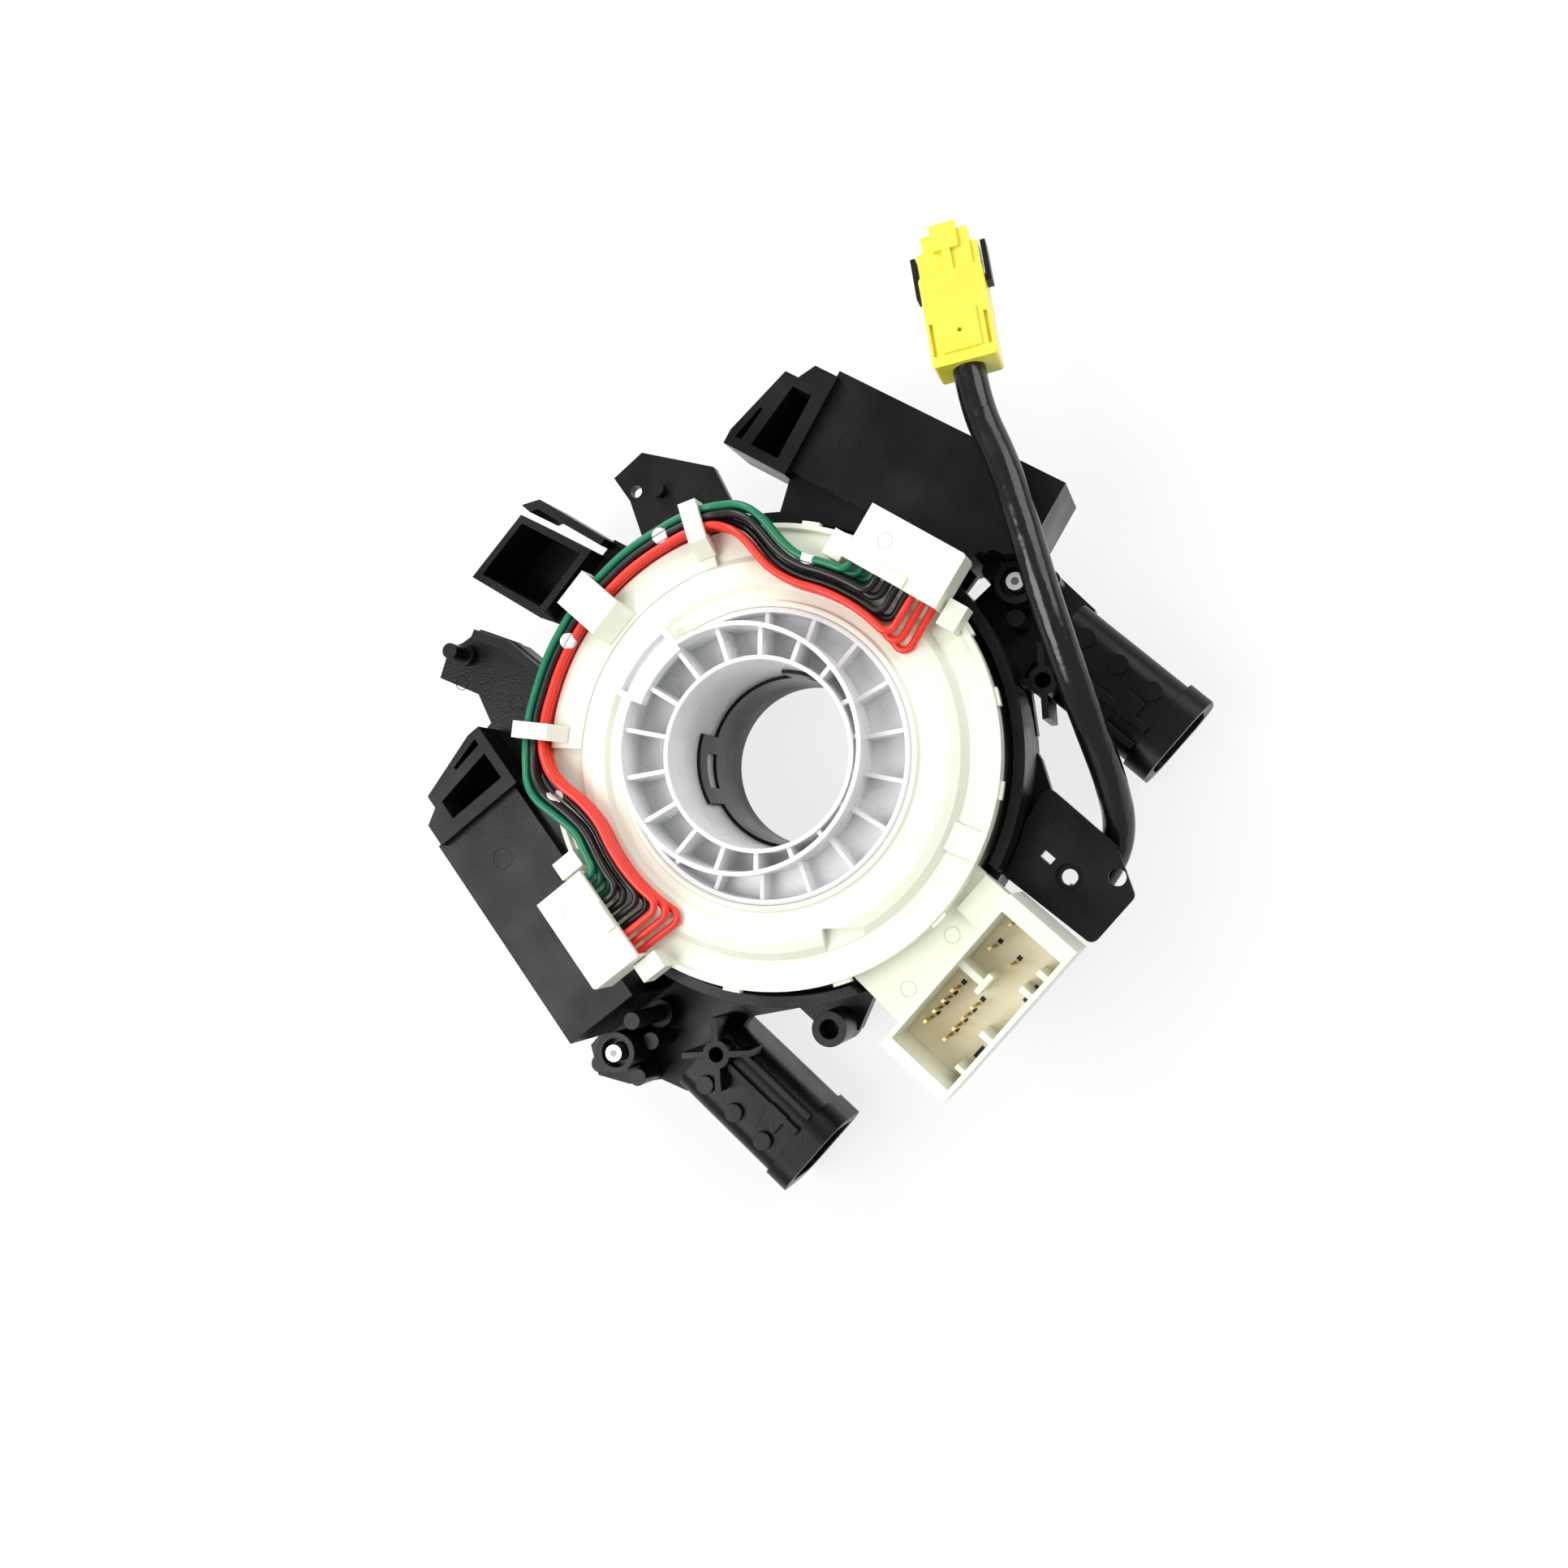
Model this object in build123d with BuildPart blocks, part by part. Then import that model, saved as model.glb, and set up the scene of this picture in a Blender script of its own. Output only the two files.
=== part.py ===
from build123d import *
from math import atan2, cos, degrees, hypot, pi, radians, sin, tan
import os

os.makedirs("parts", exist_ok=True)

# Rotor hub, turning about Z, wheel side at z = 0
bore_r = 17.3             # clear bore through the wheel-side sleeve
sleeve_wall = 0.65
sleeve_fit = 0.1          # sleeve inside the hub tube
tube_wall = 0.85
hub_top = 43.5
flange_t = 2.5            # wheel-side rotor plate
flange_top = 8.5
flange_r = 40.0
ring_r = 28.9             # hub ring that runs in the cover
ring_wall = 1.1
ring_top = 38.6
ring_fit = 0.07           # radial running clearance of the ring
pocket_floor = 34.0       # floor of the pockets between the ribs
skirt_r = 30.0
skirt_wall = 1.6
skirt_top = 35.2
skirt_low = 13.4
shell_r = 24.5            # off-centre shell around the tube
shell_shift = 4.3
shell_angle = 115.0
shell_wall = 0.9
rib_count = 18
rib_t = 0.9
cam_r = 31.7              # turn-signal cancel cam
cam_from = 78.0
cam_to = 108.0
cam_depth = 2.9
key_tall = 18.5           # height of the castellated sleeve between its fingers
key_finger = 27.0

# Cassette
floor_z = 10.0
floor_t = 2.0
floor_bore = 31.2
case_r = 45.0
case_wall = 1.4
case_top = 35.0
cover_r = 45.6
band_z = 36.4             # outer band of the cover
band_raise = 1.2          # raised sector that carries the wire hooks
lip_z = 37.2
cone_z = 38.8
cover_under = 35.6
arm_top = 30.0
arm_t = 2.0

# Switch body and bracket
ring_in = 47.0            # body ring around the cassette
ring_out = 49.2
body_low = 12.0
body_high = 31.0
seat_in = 43.2            # lip that carries the cassette
plate_low = 8.0
slot_top = 33.0
slot_low = 12.0
slot_wall = 2.0
slot_len = 50.5
slot_deep = 21.5
slot_right_at = (71.0, 14.7)
slot_right_turn = 10.9
slot_left_at = (-66.5, 19.2)
slot_left_turn = 11.7
rail_top = 35.0
rail_low = 18.0
port_w = 20.0             # port sleeves below the stalks
port_h = 20.5
port_wall = 1.9
port_right_x = 52.5
port_left_x = -58.2
port_end = -56.0
port_start = -25.0
port_blind = 11.0         # solid length behind the cavity
screw_right = (56.1, -13.6)
screw_left = (-68.5, -12.5)
bump_out = 6.3            # locating bumps around each boss
bump_r = 1.8
bump_turns = {screw_right: (100, 215, 320), screw_left: (160, 250, 330)}
screw_r = 1.75
screw_fit = 0.2
boss_r = 4.2
boss_top = 27.0
star_right = (45.0, -29.5)
star_left = (-54.8, -28.2)

# Harness
way_count = 10
way_pitch = 1.95
wire_d = 1.5
wire_step = 1.7           # spacing of the wires side by side and layer by layer
lane_r = 47.1             # innermost wire lane beside the cover
layer_z = 34.35           # lowest wire layer
plug_len = 20.6
plug_deep = 11.3
plug_low = 37.2             # plugs stand on the lip of the cover
plug_high = 45.0
entry_z = 41.4
plug_recess = 2.0         # wire side of the plug, set back between floor and roof
plug_right_at = (46.2, 1.9)
plug_right_turn = 9.5
plug_left_at = (-48.0, 3.4)
plug_left_turn = 11.8

# Airbag lead
lead_d = 6.3
gland_at = (18.0, -62.0, 12.6)
web_face = 15.0           # wall of the flange web that carries the gland


def at(angle, radius):
    return (radius * cos(radians(angle)), radius * sin(radians(angle)))


def radial_plane(angle):
    a = radians(angle)
    return Plane(origin=(0, 0, 0), x_dir=(cos(a), sin(a), 0), z_dir=(sin(a), -cos(a), 0))


def local_plane(at_xy, turn, z):
    a = radians(turn)
    return Plane(origin=(at_xy[0], at_xy[1], z), x_dir=(cos(a), sin(a), 0), z_dir=(0, 0, 1))


def sector(inner, outer, start, stop):
    # closed sketch outline of a ring sector
    with BuildLine() as outline:
        CenterArc((0, 0), outer, start, stop - start)
        CenterArc((0, 0), inner, start, stop - start)
        Line(at(start, inner), at(start, outer))
        Line(at(stop, inner), at(stop, outer))
    return make_face(outline.line)


tube_in = bore_r + sleeve_wall + sleeve_fit
tube_out = tube_in + tube_wall
cover_bore = ring_r + ring_fit
shell_at = at(shell_angle, shell_shift)

# Hub: tube, pocket floor, running ring and skirt in one turned form
with BuildPart() as hub:
    with BuildSketch(Plane.XZ) as hub_profile:
        with BuildLine():
            Polyline(
                (tube_in, flange_top),
                (tube_out, flange_top),
                (tube_out, pocket_floor - 1.2),
                (skirt_r - skirt_wall, pocket_floor - 1.2),
                (skirt_r - skirt_wall, skirt_low),
                (skirt_r, skirt_low),
                (skirt_r, skirt_top),
                (ring_r, skirt_top),
                (ring_r, ring_top - 0.35),
                (ring_r - 0.35, ring_top),
                (ring_r - ring_wall, ring_top),
                (ring_r - ring_wall, pocket_floor),
                (tube_out, pocket_floor),
                (tube_out, hub_top),
                (tube_in, hub_top),
                close=True,
            )
        make_face()
    revolve(axis=Axis.Z)
    # off-centre shell
    with BuildSketch(Plane.XY.offset(pocket_floor - 0.4)):
        with Locations(shell_at):
            Circle(shell_r)
            Circle(shell_r - shell_wall, mode=Mode.SUBTRACT)
    extrude(amount=hub_top - pocket_floor + 0.4)
    # ribs, tall inside the shell and low between the shell and the ring
    with BuildSketch(Plane.XY.offset(pocket_floor - 0.4)):
        with PolarLocations((tube_out + ring_r - 0.8) / 2, rib_count):
            Rectangle(ring_r - 0.4 - tube_out, rib_t)
    extrude(amount=ring_top - pocket_floor)
    with BuildSketch(Plane.XY.offset(pocket_floor - 0.4)):
        with PolarLocations((tube_out + ring_r) / 2, rib_count):
            Rectangle(ring_r - tube_out + 0.6, rib_t)
        with Locations(shell_at):
            Circle(shell_r - 0.2, mode=Mode.INTERSECT)
        Circle(tube_out - 0.2, mode=Mode.SUBTRACT)
    extrude(amount=hub_top - 0.9 - pocket_floor + 0.4)
    # cancel cam with its shallow tray
    with BuildSketch(Plane.XY.offset(hub_top - cam_depth)):
        sector(ring_r - 3.2, cam_r, cam_from, cam_to)
    extrude(amount=cam_depth)
    with BuildSketch(Plane.XY.offset(hub_top - cam_depth + 1.1)):
        sector(ring_r + 0.4, cam_r - 1.0, cam_from + 2.2, cam_to - 2.2)
    extrude(amount=cam_depth, mode=Mode.SUBTRACT)
hub.part.label = "hub"

# Wheel-side rotor plate with rim, bore ring and castellated sleeve
with BuildPart() as wheel_flange:
    with BuildSketch(Plane.XZ):
        with BuildLine():
            Polyline(
                (bore_r, 0),
                (bore_r + 2.6, 0),
                (bore_r + 2.6, flange_top - flange_t),
                (flange_r - 1.6, flange_top - flange_t),
                (flange_r - 1.6, 0),
                (flange_r, 0),
                (flange_r, flange_top - 0.6),
                (flange_r - 0.6, flange_top),
                (bore_r + sleeve_wall, flange_top),
                (bore_r + sleeve_wall, key_finger),
                (bore_r, key_finger),
                close=True,
            )
        make_face()
    revolve(axis=Axis.Z)
    # gaps between the three fingers
    for k in range(3):
        with BuildSketch(Plane.XY.offset(key_tall)):
            sector(bore_r - 1, bore_r + sleeve_wall + 1, 161 + 120 * k, 233 + 120 * k)
        extrude(amount=key_finger - key_tall + 1, mode=Mode.SUBTRACT)
    # window through each finger
    for k in range(3):
        with BuildSketch(Plane.XY.offset(key_tall - 1.5)):
            sector(bore_r - 1, bore_r + sleeve_wall + 1, 125 + 120 * k, 149 + 120 * k)
        extrude(amount=5.5, mode=Mode.SUBTRACT)
wheel_flange.part.label = "wheel_flange"

# Connector on the wheel side of the rotor
socket_at = (0, -29.0)
socket_low = 0.6
socket_high = flange_top - flange_t
with BuildPart() as wheel_socket:
    with BuildSketch(Plane.XY.offset(socket_low)):
        with Locations(socket_at):
            RectangleRounded(21.0, 10.4, 1.2)
    extrude(amount=socket_high - socket_low)
    with BuildSketch(Plane.XY.offset(socket_low)):
        with Locations(socket_at):
            RectangleRounded(18.6, 8.0, 0.8)
    extrude(amount=socket_high - socket_low - 1.2, mode=Mode.SUBTRACT)
wheel_socket.part.label = "wheel_socket"

with BuildPart() as wheel_pins:
    with BuildSketch(Plane.XY.offset(socket_high - 1.2)):
        with Locations(socket_at):
            with GridLocations(2.5, 3.0, 6, 2):
                Rectangle(0.64, 0.64)
    extrude(amount=-2.4)
wheel_pins.part.label = "wheel_pins"

# Cassette base: floor, wall, arm and vehicle connector shroud
shroud_x = (-25.5, 11.6)
shroud_y = (-69.0, -53.2)
shroud_low = 24.0
shroud_high = 42.0
shroud_floor = 28.0
cavity_x = (-23.0, 8.2)
cavity_y = (-68.0, -54.2)


def span_box(x, y):
    with Locations(((x[0] + x[1]) / 2, (y[0] + y[1]) / 2)):
        Rectangle(x[1] - x[0], y[1] - y[0])


with BuildPart() as cassette_base:
    with BuildSketch(Plane.XZ):
        with BuildLine():
            Polyline(
                (floor_bore, floor_z),
                (case_r, floor_z),
                (case_r, case_top),
                (case_r - case_wall, case_top),
                (case_r - case_wall, floor_z + floor_t),
                (floor_bore, floor_z + floor_t),
                close=True,
            )
        make_face()
    revolve(axis=Axis.Z)
    with BuildSketch(Plane.XY.offset(arm_top - arm_t)):
        Polygon((-21.8, -35), (-22.6, -54), (10.2, -54), (10.3, -40), align=None)
        Circle(case_r - case_wall / 2, mode=Mode.SUBTRACT)
    extrude(amount=arm_t)
    # ribs under the arm
    for x in (-21.4, -6.0, 9.2):
        with BuildSketch(Plane.XY.offset(arm_top - arm_t - 3.5)):
            span_box((x - 0.7, x + 0.7), (-54.0, -38.0))
            Circle(case_r - case_wall / 2, mode=Mode.SUBTRACT)
        extrude(amount=3.6)
    # raised pad beside the shroud
    with BuildSketch(Plane.XY.offset(arm_top - 0.5)):
        span_box((1.5, 10.2), (-53.6, -46.5))
    extrude(amount=2.0)
    with BuildSketch(Plane.XY.offset(shroud_low)):
        span_box(shroud_x, shroud_y)
    extrude(amount=shroud_high - shroud_low)
    with BuildSketch(Plane.XY.offset(shroud_floor)):
        span_box(cavity_x, cavity_y)
    extrude(amount=shroud_high - shroud_floor, mode=Mode.SUBTRACT)
    # open underside for the terminals' tails
    with BuildSketch(Plane.XY.offset(shroud_low)):
        span_box((cavity_x[0], cavity_x[1]), (cavity_y[0], cavity_y[1]))
    extrude(amount=shroud_floor - shroud_low - 1.6, mode=Mode.SUBTRACT)
    # coding keys inside the shroud
    with BuildSketch(Plane.XY.offset(shroud_floor - 0.2)):
        span_box((-5.5, -4.1), (cavity_y[1] - 6.4, cavity_y[1] + 0.2))
        span_box((-7.0, -2.6), (cavity_y[1] - 6.4, cavity_y[1] - 5.2))
        span_box((-1.4, -0.2), (cavity_y[0] - 0.2, cavity_y[0] + 2.6))
        span_box((3.0, 4.2), (cavity_y[0] - 0.2, cavity_y[0] + 2.2))
        span_box((-12.6, -11.4), (cavity_y[0] - 0.2, cavity_y[0] + 2.6))
        span_box((-20.2, -19.2), (cavity_y[0] - 0.2, cavity_y[0] + 2.0))
    extrude(amount=9.4)
    # tab slots in the shroud floor
    with BuildSketch(Plane.XY.offset(shroud_floor - 1.8)):
        span_box((-3.6, 0.4), (-67.6, -66.8))
        span_box((-18.0, -15.3), (-67.6, -66.8))
        for x, y in ((3.0, -55.9), (5.6, -60.8), (2.9, -61.0), (-7.0, -58.2)):
            with Locations((x, y)):
                Rectangle(1.0, 1.0)
    extrude(amount=2.0, mode=Mode.SUBTRACT)
cassette_base.part.label = "cassette_base"

pin_w = 0.64
pin_spots = [(6.7, -56.5), (0.9, -56.5), (0.9, -61.3)]
for k in range(4):
    pin_spots.append((-9.7 - 2.6 * k, -56.4))
    pin_spots.append((-9.7 - 2.6 * k, -61.2))
with BuildPart() as vehicle_pins:
    with BuildSketch(Plane.XY.offset(shroud_floor)):
        with Locations(*pin_spots):
            Rectangle(pin_w, pin_w)
    extrude(amount=9.0)
    with BuildSketch(Plane.XY.offset(shroud_floor - 1.6)):
        with Locations(*pin_spots):
            Rectangle(pin_w, pin_w)
    extrude(amount=-2.0)
vehicle_pins.part.label = "vehicle_pins"

# Cassette cover: stepped turned form, wire hooks, plug posts
hook_t = 1.1
hook_under = 40.4
hook_out = 52.7
post_top = 41.5


def hook_profile(start, out):
    return (
        (start, band_z + band_raise - 0.8),
        (start, band_z + band_raise + 0.5),
        (start + 3.0, hook_under + hook_t),
        (out, hook_under + hook_t),
        (out, hook_under - 3.6),
        (out - hook_t, hook_under - 3.6),
        (out - hook_t, hook_under),
        (start + 4.2, hook_under),
        (start + 3.0, band_z + band_raise - 0.8),
    )


with BuildPart() as cassette_cover:
    with BuildSketch(Plane.XZ):
        with BuildLine():
            Polyline(
                (cover_bore, cover_under),
                (case_r - case_wall - 0.2, cover_under),
                (case_r - case_wall - 0.2, case_top),
                (case_r + 0.05, case_top),
                (case_r + 0.05, case_top - 2.2),
                (cover_r, case_top - 2.2),
                (cover_r, lip_z),
                (cover_r - 1.0, lip_z),
                (cover_r - 1.4, band_z),
                (39.6, band_z),
                (38.2, cone_z - 0.7),
                (36.2, cone_z),
                (33.4, cone_z),
                (32.4, cone_z - 0.8),
                (30.4, cone_z - 0.8),
                (30.0, ring_top),
                (cover_bore + 0.35, ring_top),
                (cover_bore, ring_top - 0.35),
                close=True,
            )
        make_face()
    revolve(axis=Axis.Z)
    # raised sector under the hooks
    with BuildSketch(Plane.XY.offset(band_z - 0.4)):
        sector(38.9, cover_r, 56.0, 128.0)
    extrude(amount=band_raise + 0.4)
    # wire hooks
    for angle, width, start, out in ((58.0, 3.7, 41.0, 52.2), (90.3, 8.2, 39.6, 52.7), (124.3, 3.4, 42.0, 52.7)):
        with BuildSketch(radial_plane(angle)):
            Polygon(*hook_profile(start, out), align=None)
        extrude(amount=width / 2, both=True)
    # posts beside the plugs
    for x, y, turn in ((39.9, 14.4, 9.5), (43.4, -11.6, 9.5), (-42.2, 16.2, 168.2), (-45.6, -9.9, 168.2)):
        with BuildSketch(local_plane((x, y), turn, band_z - 0.4)):
            Rectangle(5.4, 3.9)
        extrude(amount=post_top - band_z + 0.4)
    # the lip is left out where the wires pass over it
    for start, stop in ((42.0, 56.0), (128.0, 140.0)):
        with BuildSketch(Plane.XY.offset(band_z)):
            sector(cover_r - 1.6, cover_r + 0.5, start, stop)
        extrude(amount=lip_z - band_z + 0.5, mode=Mode.SUBTRACT)
    # trapezoid window
    with BuildSketch(Plane.XY.offset(cone_z - 2.2)):
        Polygon((-17.4, -30.6), (-12.0, -36.4), (-15.4, -39.0), (-20.6, -33.8), align=None)
    extrude(amount=4, mode=Mode.SUBTRACT)
    # raised rectangular tab
    with BuildSketch(local_plane((12.3, -38.6), -72.0, band_z - 0.3)):
        Rectangle(9.0, 5.6)
    extrude(amount=1.0)
    # small tabs round the rim
    for angle in (-120, -92, -58, -36, -18, 30, 212):
        with BuildSketch(Plane.XY.offset(case_top - 0.4)):
            sector(cover_r - 0.5, cover_r + 0.75, angle - 2.2, angle + 2.2)
        extrude(amount=2.0)
cassette_cover.part.label = "cassette_cover"

# Spiral ribbon inside the cassette
ribbon_t = 0.35
ribbon_low = floor_z + floor_t
ribbon_high = 32.5
ribbon_in = 32.0
ribbon_step = 1.6
ribbon_turns = 3
with BuildPart() as flat_cable:
    # the ribbon as one closed band of its wound size
    with BuildSketch(Plane.XY.offset(ribbon_low)):
        Circle(ribbon_in + ribbon_step * ribbon_turns)
        Circle(ribbon_in, mode=Mode.SUBTRACT)
    extrude(amount=ribbon_high - ribbon_low)
flat_cable.part.label = "flat_cable"

# Harness plugs
plug_turn_left = 180 - plug_left_turn


def plug_body(at_xy, turn, side):
    # side is +1 when the plug's own +Y points to the object's +Y
    with BuildPart() as body:
        with BuildSketch(local_plane(at_xy, turn, plug_low)):
            Rectangle(plug_deep, plug_len)
        extrude(amount=plug_high - plug_low)
        chamfer(body.edges().filter_by(Axis.Z).group_by(SortBy.DISTANCE)[-1][:2], 0.5)
        with BuildSketch(local_plane(at_xy, turn, entry_z - 2.2)):
            with Locations((-plug_deep / 2 + plug_recess / 2, 0)):
                Rectangle(plug_recess, plug_len - 1.2)
        extrude(amount=4.5, mode=Mode.SUBTRACT)
        # latch bump
        with BuildSketch(local_plane(at_xy, turn, plug_high - 0.2)):
            with Locations((-plug_deep / 2 + 1.2, 0)):
                Rectangle(2.2, 6.0)
        extrude(amount=0.8)
    return body.part


harness_plug_right = plug_body(plug_right_at, plug_right_turn, 1)
harness_plug_left = plug_body(plug_left_at, plug_turn_left, -1)
harness_plug_right.label = "harness_plug_right"
harness_plug_left.label = "harness_plug_left"

# Switch body: ring wall, two stalk slots with rails, box socket, tabs
slot_in = slot_deep - slot_wall


def slot_plane(side, z):
    if side > 0:
        return local_plane(slot_right_at, slot_right_turn, z)
    return local_plane(slot_left_at, 180 - slot_left_turn, z)


def slot_points(side, points):
    # local x outward, y toward the box socket on both sides
    return [(x, y * side) for x, y in points]


slot_outline = ((0, -slot_len / 2), (0, slot_len / 2), (-slot_deep, slot_len / 2),
                (-slot_deep, -15.0), (-17.0, -19.5), (-17.0, -slot_len / 2))
rail_outline = ((-23.0, slot_len / 2 - 1), (-1.5, slot_len / 2 - 1), (-1.5, 29.5), (-5.0, 31.5),
                (-5.0, 34.5), (-20.0, 39.0), (-23.0, 39.0))

with BuildPart() as switch_body:
    with BuildSketch(Plane.XY.offset(body_low)):
        Circle(ring_out)
        Circle(ring_in, mode=Mode.SUBTRACT)
    extrude(amount=body_high - body_low)
    for side in (1, -1):
        with BuildSketch(slot_plane(side, slot_low)):
            Polygon(*slot_points(side, slot_outline), align=None)
        extrude(amount=slot_top - slot_low)
        with BuildSketch(slot_plane(side, rail_low)):
            Polygon(*slot_points(side, rail_outline), align=None)
        extrude(amount=rail_top - rail_low)
        # shelf from the slot to the ring
        with BuildSketch(slot_plane(side, body_high - 3.0)):
            Polygon(*slot_points(side, ((-20.5, -15), (-20.5, 25), (-42.0, 20), (-42.0, -12))), align=None)
        extrude(amount=3.0)
        with BuildSketch(slot_plane(side, body_low)):
            Polygon(*slot_points(side, ((-20.5, -15), (-20.5, 25), (-42.0, 20), (-42.0, -12))), align=None)
        extrude(amount=2.5)
    # bracket of the upper tab, box socket and left post
    with BuildSketch(Plane.XY.offset(body_high - 5.0)):
        Polygon((18.0, 40.0), (32.0, 40.0), (36.0, 50.0), (28.8, 64.6), (21.0, 66.0), (19.6, 60.0), (14.0, 50.0), align=None)
    extrude(amount=2.6)
    with BuildSketch(Plane.XY.offset(body_low)):
        Polygon((-11.1, 59.1), (6.7, 59.3), (2.5, 77.2), (-14.5, 77.4), align=None)
    extrude(amount=body_high - 1.0 - body_low)
    with BuildSketch(Plane.XY.offset(body_low)):
        Polygon((-9.0, 45.0), (14.0, 45.0), (10.8, 60.0), (-11.0, 60.0), align=None)
    extrude(amount=11.0)
    with BuildSketch(Plane.XY.offset(body_low + 3)):
        Polygon((8.6, 59.0), (10.4, 59.0), (7.4, 76.5), (4.0, 79.0), (4.0, 76.5), (5.6, 75.5), align=None)
    extrude(amount=14.0)
    with BuildSketch(Plane.XY.offset(body_high - 8.0)):
        Polygon((-24.0, 40.0), (-18.6, 45.0), (-19.4, 62.3), (-22.5, 70.3), (-31.5, 73.0), (-36.5, 70.9),
                (-33.3, 61.4), (-36.0, 55.0), (-41.0, 55.0), (-36.0, 34.0), align=None)
    extrude(amount=3.2)
    # walls that stiffen the left post bracket
    with BuildSketch(Plane.XY.offset(body_high - 12.0)):
        Polygon((-21.0, 46.0), (-18.8, 46.0), (-19.6, 62.0), (-22.6, 69.6), (-24.6, 69.0), (-21.6, 61.6), align=None)
    extrude(amount=11.0)
    with BuildSketch(Plane.XY.offset(body_high - 8.0)):
        with Locations((-28.7, 69.0)):
            Circle(2.4)
    extrude(amount=5.2)
    with BuildSketch(Plane.XY.offset(body_high - 8.0)):
        with Locations((-28.7, 69.0)):
            Circle(1.65)
    extrude(amount=11.0)
    # peg and hole on the upper tab
    with BuildSketch(Plane.XY.offset(body_high - 2.5)):
        with Locations((25.2, 55.8)):
            Circle(1.5)
    extrude(amount=2.6)
    with BuildSketch(Plane.XY.offset(body_high - 6.0)):
        with Locations((21.9, 60.2)):
            Circle(1.3)
    extrude(amount=6.0, mode=Mode.SUBTRACT)
    # room for the cassette and its arm
    with BuildSketch(Plane.XY.offset(body_low)):
        Circle(ring_in)
    extrude(amount=40, mode=Mode.SUBTRACT)
    with BuildSketch(Plane.XY.offset(arm_top - arm_t - 4.0)):
        span_box((-23.6, 12.0), (-56.0, -40.0))
    extrude(amount=20, mode=Mode.SUBTRACT)
    # room for the screw bosses of the bracket
    with BuildSketch(Plane.XY.offset(body_low)):
        with Locations(screw_right, screw_left):
            Circle(boss_r + 0.2)
        for x, y in (screw_right, screw_left):
            for turn in bump_turns[(x, y)]:
                with Locations((x + bump_out * cos(radians(turn)), y + bump_out * sin(radians(turn)))):
                    Circle(bump_r + 0.1)
    extrude(amount=slot_top, mode=Mode.SUBTRACT)
    # slots, rail pockets and socket cavity
    for side in (1, -1):
        with BuildSketch(slot_plane(side, slot_low + slot_wall)):
            Polygon(
                *slot_points(side, (
                    (1.0, -slot_len / 2 + slot_wall), (1.0, slot_len / 2 - slot_wall),
                    (-slot_in, slot_len / 2 - slot_wall), (-slot_in, -14.0), (-15.0, -18.6),
                    (-15.0, -slot_len / 2 + slot_wall),
                )),
                align=None,
            )
        extrude(amount=slot_top - slot_low - 2 * slot_wall, mode=Mode.SUBTRACT)
        with BuildSketch(slot_plane(side, rail_low + 2.0)):
            Polygon(*slot_points(side, ((-7.0, 27.2), (-7.0, 31.6), (-20.8, 33.6), (-20.8, 27.2))), align=None)
            Polygon(*slot_points(side, ((-13.5, 34.9), (-13.5, 35.6), (-20.8, 37.4), (-20.8, 35.9))), align=None)
        extrude(amount=rail_top, mode=Mode.SUBTRACT)
    with BuildSketch(Plane.XY.offset(body_low + 2.0)):
        Polygon((-9.4, 60.8), (4.7, 60.9), (1.2, 75.8), (-12.6, 75.9), align=None)
    extrude(amount=20, mode=Mode.SUBTRACT)
switch_body.part.label = "switch_body"

# Column bracket: cassette seat, bosses, port sleeves, flange plate
plate_top = body_low
flange_plate_top = 20.5


def port_plane(x, y):
    return Plane(origin=(x, y, port_h / 2), x_dir=(1, 0, 0), z_dir=(0, -1, 0))


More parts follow.
